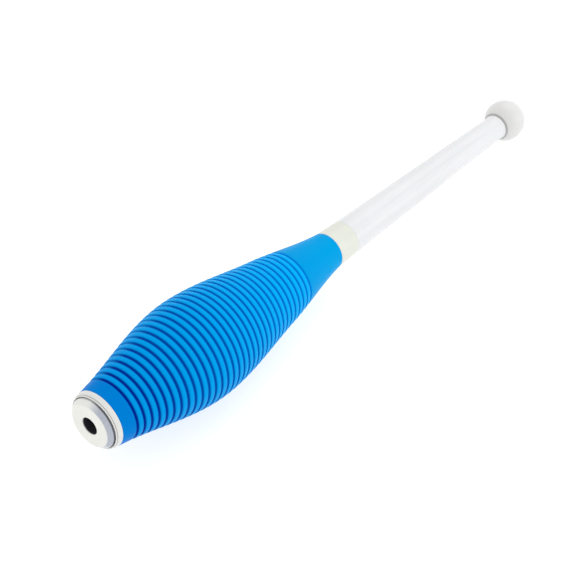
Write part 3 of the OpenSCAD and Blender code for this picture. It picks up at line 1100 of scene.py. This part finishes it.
class CLUB_OT_wood_screws(Piece):
    """The two wood screws, grown with their threads, and their washers"""

    bl_idname = "club.wood_screws"
    bl_label = "Screws and Washers"

    AROUND = 32
    DOME_ROWS, THREAD_ROWS = 22, 9
    SQUARENESS = 0.75
    RECESS_WIDTH, RECESS_REACH, RECESS_DEPTH = 0.9 * MM, 2.0 * MM, 1.1 * MM
    THREAD_START, THREAD_FULL = 3 * MM, 5 * MM

    def build(self, s, c):
        finish = zinc_steel()
        web = s.well_depth + s.web_wall
        floor = s.club_length - s.recess_depth
        cap_seat, knob_seat = s.well_depth - s.washer_wall, floor + s.washer_wall
        cap_free, knob_free = web + s.gap - cap_seat, knob_seat - floor + s.knob_web + s.gap
        cap = {"Seat": cap_seat, "Way": 1.0, "Shank": cap_free + s.screw_bite}
        knob = {"Seat": knob_seat, "Way": -1.0, "Shank": knob_free + s.screw_bite}
        both = {
            "Thread Radius": s.screw_r,
            "Thread Depth": s.thread_depth,
            "Thread Pitch": s.thread_pitch,
            "Head Radius": s.head_r,
            "Head Height": s.head_height,
            "Material": finish,
        }
        tree = self.grow(Grower("Wood Screw", self.AROUND, {**cap, **both}), s)
        for name, node, own in (
            ("cap_wood_screw", "cap_screw", cap),
            ("knob_wood_screw", "knob_screw", knob),
        ):
            piece = grown(name, tree, {**own, **both})
            finish_piece(piece, "zinc_steel", finish, node)
        for name, node, low in (
            ("cap_plate_washer", "cap_washer", cap_seat),
            ("knob_plate_washer", "knob_washer", floor),
        ):
            high, edge = low + s.washer_wall, 0.2 * MM
            hole, rim = s.screw_r + s.screw_play, s.head_r + s.washer_rim
            ring = [(low, hole, edge), (low, rim, edge), (high, rim, edge), (high, hole, edge)]
            piece = turned(name, outline(ring), around=64)
            finish_piece(piece, "zinc_steel", finish, node)

    def grow(self, g, s):
        """A pan head with a cross recess, and a shank whose thread winds by a rule."""
        head, height = g.given("Head Radius"), g.given("Head Height")
        shank, radius = g.given("Shank"), g.given("Thread Radius")
        deep, pitch = g.given("Thread Depth"), g.given("Thread Pitch")
        core = radius - deep

        def dome(u, v):
            """A pan head, sunk along a cross."""
            a = u * (TURN / 4)
            far = head * (a.math("SINE") ** self.SQUARENESS)
            top = height * -1 * (a.math("COSINE").math("MAXIMUM", 0.0) ** self.SQUARENESS)
            across = (far * (v * TURN).math("COSINE")).math("ABSOLUTE")
            up = (far * (v * TURN).math("SINE")).math("ABSOLUTE")
            narrow = across.math("MINIMUM", up).math("LESS_THAN", self.RECESS_WIDTH / 2)
            short = across.math("MAXIMUM", up).math("LESS_THAN", self.RECESS_REACH)
            return top + narrow * short * self.RECESS_DEPTH, far

        def thread(u, v):
            place = shank * u
            phase = (place / pitch + v).math("FRACT")
            crest = 1 - (phase * 2 - 1).math("ABSOLUTE")
            start = g.step(place, self.THREAD_START, self.THREAD_FULL)
            point = ((1 - u) * 8).math("MINIMUM", 1.0) ** 0.6
            return place, (core + deep * start * g.step(crest, 0.35, 1.0)) * point

        g.strip(self.DOME_ROWS, dome, with_turn=True)
        g.line((0.0, head), (0.0, core))
        rows = math.ceil((s.screw_bite + s.web_wall) / s.thread_pitch) * self.THREAD_ROWS
        g.strip(rows, thread, with_turn=True)
        way = g.given("Way")
        turn = g.vector(0.0, 0.0, (1 - way) * (math.pi / 2))
        set_down = g.wire(
            "GeometryNodeTransform",
            Geometry=g.welded(),
            Translation=g.vector(g.given("Seat"), 0.0, 0.0),
            Rotation=turn,
        )
        return g.dress(set_down)


class CLUB_OT_tacks(Piece):
    """Flat-headed tacks round the neck, set on a ring of points"""

    bl_idname = "club.tacks"
    bl_label = "Neck Tacks"

    AROUND = 20
    POINT_SHARE, EDGE_SHARE, TOP_SHARE = 0.8, 0.6, 0.7

    def build(self, s, c):
        finish = zinc_steel()
        settings = {
            "Ring Place": s.mouth_place + s.body_length + s.tack_place,
            "Ring Radius": tongue_radius(s),
            "Shank Radius": s.tack_r,
            "Head Radius": s.tack_head_r,
            "Head Height": s.tack_head_height,
            "Length": s.tack_length,
            "Count": s.tack_count,
            "Material": finish,
        }
        tree = self.grow(Grower("Tack Ring", self.AROUND, settings))
        piece = grown("shell_tacks", tree, settings)
        finish_piece(piece, "zinc_steel", finish, "neck_tacks")

    def grow(self, g):
        """One tack along X with its head's underside at 0, then one on each point."""
        shank, head = g.given("Shank Radius"), g.given("Head Radius")
        height, length = g.given("Head Height"), g.given("Length")
        point = length * -self.POINT_SHARE
        edge, top = height * self.EDGE_SHARE, head * self.TOP_SHARE
        g.line(
            (length * -1, 0.0),
            (point, shank),
            (0.0, shank),
            (0.0, head),
            (edge, head),
            (height, top),
            (height, 0.0),
        )
        tack = g.welded()
        count, radius = g.given("Count"), g.given("Ring Radius")
        ring = g.wire("GeometryNodeMeshCircle", Vertices=count, Radius=radius)
        here = g.wire("GeometryNodeInputPosition")
        x, y, _ = g.split(here)
        stand = g.vector(g.given("Ring Place"), x, y)
        stood = g.wire("GeometryNodeSetPosition", Geometry=ring, Position=stand)
        _, across, up = g.split(here)
        outwards = g.vector(0.0, across, up)
        aim = g.wire("FunctionNodeAlignRotationToVector", {"axis": "X"}, Vector=outwards)
        return g.dress(
            g.wire("GeometryNodeInstanceOnPoints", Points=stood, Instance=tack, Rotation=aim)
        )


class CLUB_OT_wooden_core(Piece):
    """Finishes for the hidden frame pieces: dowel, bush and foam pad"""

    bl_idname = "club.wooden_core"
    bl_label = "Dowel, Bush and Pad"

    def build(self, s, c):
        finishes = {
            "dowel": turned_wood("beech", c.beech, c.beech_dark),
            "neck_bush": turned_wood("bush_wood", c.beech, c.beech_dark),
            "cap_pad": pad_foam(),
        }
        for node, material in finishes.items():
            for slot in frame["nodes"][node].material_slots:
                slot.material = material


class CLUB_OT_stage(bpy.types.Operator):
    """Pale floor, soft lights and the camera"""

    bl_idname = "club.stage"
    bl_label = "Stage"
    bl_options = {"REGISTER", "UNDO"}

    LAMP_DISTANCE = 1.6

    def execute(self, context):
        st = stage()
        scene = context.scene
        self.floor(scene)
        self.sky(scene, st.sky)
        centre = (cad_box[0] + cad_box[1]) / 2
        self.lamp(scene, "key_light", centre, azimuth=103, elevation=49, size=1.1, power=st.key)
        self.lamp(scene, "fill_light", centre, azimuth=37, elevation=16, size=0.8, power=st.fill)
        self.camera(scene, st)
        scene.view_settings.view_transform = "Standard"
        return {"FINISHED"}

    def floor(self, scene):
        """A broad square, divided so that it can be lit evenly."""
        half, count = 6.0, 12
        mesh = bpy.data.meshes.new("pale_floor")
        side = [half * (2 * i / count - 1) for i in range(count + 1)]
        verts = [(x, y, 0.0) for x in side for y in side]
        row = count + 1
        faces = [
            (i * row + j, (i + 1) * row + j, (i + 1) * row + j + 1, i * row + j + 1)
            for i in range(count)
            for j in range(count)
        ]
        mesh.from_pydata(verts, [], faces)
        mesh.materials.append(pale_floor())
        floor = bpy.data.objects.new("pale_floor", mesh)
        scene.collection.objects.link(floor)

    def sky(self, scene, strength):
        world = bpy.data.worlds.new("studio_sky")
        world.use_nodes = True
        backdrop = world.node_tree.nodes["Background"]
        backdrop.inputs["Color"].default_value = (1.0, 1.0, 1.0, 1.0)
        backdrop.inputs["Strength"].default_value = strength
        scene.world = world

    def lamp(self, scene, name, centre, azimuth, elevation, size, power):
        """A square soft box that looks at the club."""
        light = bpy.data.lights.new(name, "AREA")
        light.shape = "SQUARE"
        light.size = size
        light.energy = power
        back = outward(math.radians(azimuth), math.radians(elevation))
        lamp = bpy.data.objects.new(name, light)
        lamp.location = centre + back * self.LAMP_DISTANCE
        lamp.rotation_euler = (-back).to_track_quat("-Z", "Y").to_euler()
        scene.collection.objects.link(lamp)

    def camera(self, scene, st):
        """Looks past a point of the club's axis, which so sits a little above the view's middle."""
        data = bpy.data.cameras.new("studio_camera")
        data.sensor_width = 36.0
        data.lens = st.lens
        data.clip_start = 0.05
        data.clip_end = 50.0
        back = outward(st.azimuth, st.elevation)
        right = Vector((math.cos(st.azimuth), math.sin(st.azimuth), 0.0))
        up = back.cross(right)
        aim = CLUB @ Vector((st.aim_place, 0, 0)) - up * st.aim_rise - right * st.aim_side
        camera = bpy.data.objects.new("studio_camera", data)
        turn = Matrix((right, up, back)).transposed() @ Matrix.Rotation(st.roll, 3, "Z")
        camera.matrix_world = Matrix.Translation(aim + back * st.distance) @ turn.to_4x4()
        scene.collection.objects.link(camera)
        scene.camera = camera


def outward(azimuth, elevation):
    """Direction from the club to a viewer: azimuth 0 is -Y, 90 degrees is +X."""
    flat = math.cos(elevation)
    return Vector((math.sin(azimuth) * flat, -math.cos(azimuth) * flat, math.sin(elevation)))


# ---------------------------------------------------------------- add-on


PIECES = (
    CLUB_OT_blown_shell,
    CLUB_OT_mouth_ring,
    CLUB_OT_bumper_cap,
    CLUB_OT_collar_band,
    CLUB_OT_grip_sleeve,
    CLUB_OT_ball_knob,
    CLUB_OT_wood_screws,
    CLUB_OT_tacks,
    CLUB_OT_wooden_core,
)
GROUPS = {"club_sizes": ClubSizes, "club_colours": ClubColours, "club_stage": ClubStage}


class CLUB_PT_panel(bpy.types.Panel):
    """Lists the club's pieces and its stage"""

    bl_idname = "CLUB_PT_panel"
    bl_label = "Juggling Club"
    bl_space_type = "VIEW_3D"
    bl_region_type = "UI"
    bl_category = "Club"

    def draw(self, context):
        layout = self.layout
        for name, kind in GROUPS.items():
            box = layout.box()
            box.label(text=kind.__doc__)
            for key in kind.__annotations__:
                box.prop(getattr(context.scene, name), key)
        for operator in (*PIECES, CLUB_OT_stage):
            layout.operator(operator.bl_idname)


CLASSES = (*GROUPS.values(), *PIECES, CLUB_OT_stage, CLUB_PT_panel)


def register():
    for cls in CLASSES:
        bpy.utils.register_class(cls)
    for name, kind in GROUPS.items():
        setattr(bpy.types.Scene, name, bpy.props.PointerProperty(type=kind))


def unregister():
    for name in GROUPS:
        delattr(bpy.types.Scene, name)
    for cls in reversed(CLASSES):
        bpy.utils.unregister_class(cls)


def main():
    """Builds the stage and every piece."""
    register()
    bpy.ops.club.stage()
    for operator in PIECES:
        family, name = operator.bl_idname.split(".")
        getattr(getattr(bpy.ops, family), name)()


if __name__ == "__main__":
    main()
